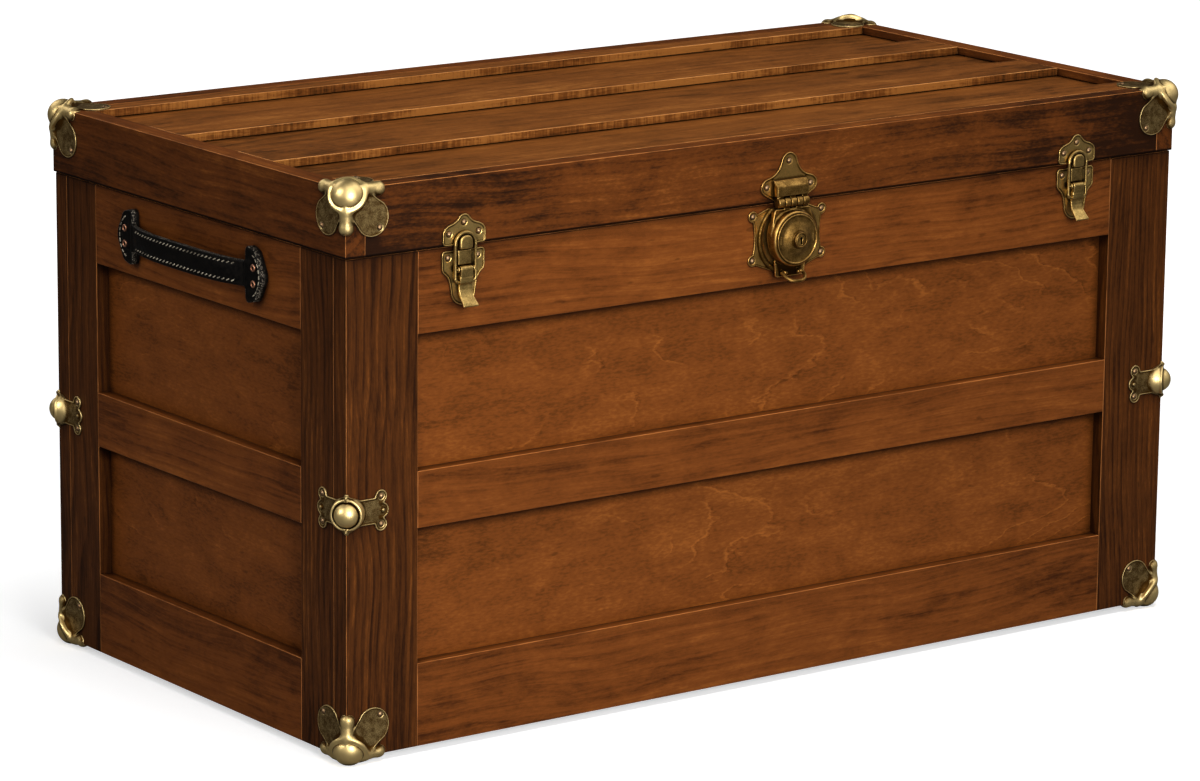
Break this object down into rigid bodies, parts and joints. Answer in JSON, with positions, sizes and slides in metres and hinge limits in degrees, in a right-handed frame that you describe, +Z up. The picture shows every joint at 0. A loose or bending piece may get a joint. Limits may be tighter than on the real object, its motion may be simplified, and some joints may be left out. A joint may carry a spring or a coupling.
{
  "type": "wooden chest",
  "caption": "Framed wooden storage chest with a hinged lid, brass corner work, draw latches, a hasp lock and leather end handles.",
  "frame": {"origin": "centre of the footprint at floor level, under the ball feet", "axes": "+X along the front, +Y from the front to the hinged back, +Z up"},
  "size_m": [0.954, 0.5002, 0.5019],
  "materials": {
    "frame_wood": "satin lacquer",
    "panel_wood": "satin lacquer",
    "inner_wood": "matt",
    "antique_brass": "aged",
    "nails": "aged",
    "rivets": "satin",
    "leather": "worn black"
  },
  "bodies": {
    "chest": {"back_panels": "panel_wood", "back_rails": "frame_wood", "back_stiles": "frame_wood", "bottom_board": "inner_wood", "bottom_cleats": "inner_wood", "bottom_corner_caps": "antique_brass", "chest_nails": "nails", "edge_clamps": "antique_brass", "front_bottom_rail": "frame_wood", "front_lower_panel": "panel_wood", "front_middle_rail": "frame_wood", "front_stile_left": "frame_wood", "front_stile_right": "frame_wood", "front_top_rail": "frame_wood", "front_upper_panel": "panel_wood", "handle_caps": "leather", "handle_rivets": "rivets", "hinge_leaves_lower": "antique_brass", "hinge_pins": "antique_brass", "latch_base_plates": "antique_brass", "latch_pins": "antique_brass", "left_handle_strap": "leather", "left_panels": "panel_wood", "left_rails": "frame_wood", "left_stiles": "frame_wood", "lock_base_plate": "antique_brass", "right_handle_strap": "leather", "right_panels": "panel_wood", "right_rails": "frame_wood", "right_stiles": "frame_wood", "stay_studs": "antique_brass"},
    "lid": {"lid_back_board": "frame_wood", "lid_back_panel": "panel_wood", "lid_back_rail": "frame_wood", "lid_front_board": "frame_wood", "lid_front_panel": "panel_wood", "lid_front_rail": "frame_wood", "lid_left_board": "frame_wood", "lid_middle_panel": "panel_wood", "lid_middle_rails": "frame_wood", "lid_nails": "nails", "lid_right_board": "frame_wood", "top_corner_caps": "antique_brass", "hinge_leaves_upper": "antique_brass", "hasp_plate": "antique_brass", "hasp_pin": "antique_brass", "latch_catch_plates": "antique_brass", "stay_pivots": "antique_brass"},
    "stay_left": {"lid_stay_left": "antique_brass"},
    "stay_right": {"lid_stay_right": "antique_brass"},
    "hasp": {"hasp": "antique_brass"},
    "key_plug": {"key_plug": "antique_brass", "lock_cam": "antique_brass"},
    "pull_ring": {"pull_ring": "antique_brass"},
    "latch_lever_left": {"latch_lever_left": "antique_brass"},
    "latch_lever_right": {"latch_lever_right": "antique_brass"},
    "latch_loop_left": {"latch_loop_left": "antique_brass"},
    "latch_loop_right": {"latch_loop_right": "antique_brass"}
  },
  "joints": [
    {"name": "lid_hinge", "type": "hinge", "parent": "chest", "child": "lid", "pos_m": [0, 0.24635, 0.4358], "axis": [-1, 0, 0], "range_deg": [0, 95]},
    {"name": "hasp_hinge", "type": "hinge", "parent": "lid", "child": "hasp", "pos_m": [0.006, -0.23535, 0.4366], "axis": [-1, 0, 0], "range_deg": [0, 120]},
    {"name": "key_turn", "type": "hinge", "parent": "hasp", "child": "key_plug", "pos_m": [0.006, -0.24315, 0.4047], "axis": [0, 1, 0], "range_deg": [0, 90]},
    {"name": "pull_ring_swing", "type": "hinge", "parent": "hasp", "child": "pull_ring", "pos_m": [0.006, -0.23735, 0.3742], "axis": [-1, 0, 0], "range_deg": [-50, 30]},
    {"name": "stay_left_pivot", "type": "hinge", "parent": "lid", "child": "stay_left", "pos_m": [-0.432, 0.09747, 0.45408], "axis": [1, 0, 0], "range_deg": [0, 47.5]},
    {"name": "latch_left_lever", "type": "hinge", "parent": "chest", "child": "latch_lever_left", "pos_m": [-0.339, -0.23315, 0.4157], "axis": [-1, 0, 0], "range_deg": [0, 110]},
    {"name": "latch_left_loop", "type": "hinge", "parent": "latch_lever_left", "child": "latch_loop_left", "pos_m": [-0.339, -0.23275, 0.4052], "axis": [-1, 0, 0], "range_deg": [-121, 0]},
    {"name": "stay_right_pivot", "type": "hinge", "parent": "lid", "child": "stay_right", "pos_m": [0.432, 0.09747, 0.45408], "axis": [1, 0, 0], "range_deg": [0, 47.5]},
    {"name": "latch_right_lever", "type": "hinge", "parent": "chest", "child": "latch_lever_right", "pos_m": [0.339, -0.23315, 0.4157], "axis": [-1, 0, 0], "range_deg": [0, 110]},
    {"name": "latch_right_loop", "type": "hinge", "parent": "latch_lever_right", "child": "latch_loop_right", "pos_m": [0.339, -0.23275, 0.4052], "axis": [-1, 0, 0], "range_deg": [-121, 0]}
  ],
  "couplings": [
    {"joint": "stay_left_pivot", "follows": "lid_hinge", "ratio": 0.5},
    {"joint": "latch_left_loop", "follows": "latch_left_lever", "ratio": -1.1},
    {"joint": "stay_right_pivot", "follows": "lid_hinge", "ratio": 0.5},
    {"joint": "latch_right_loop", "follows": "latch_right_lever", "ratio": -1.1}
  ]
}
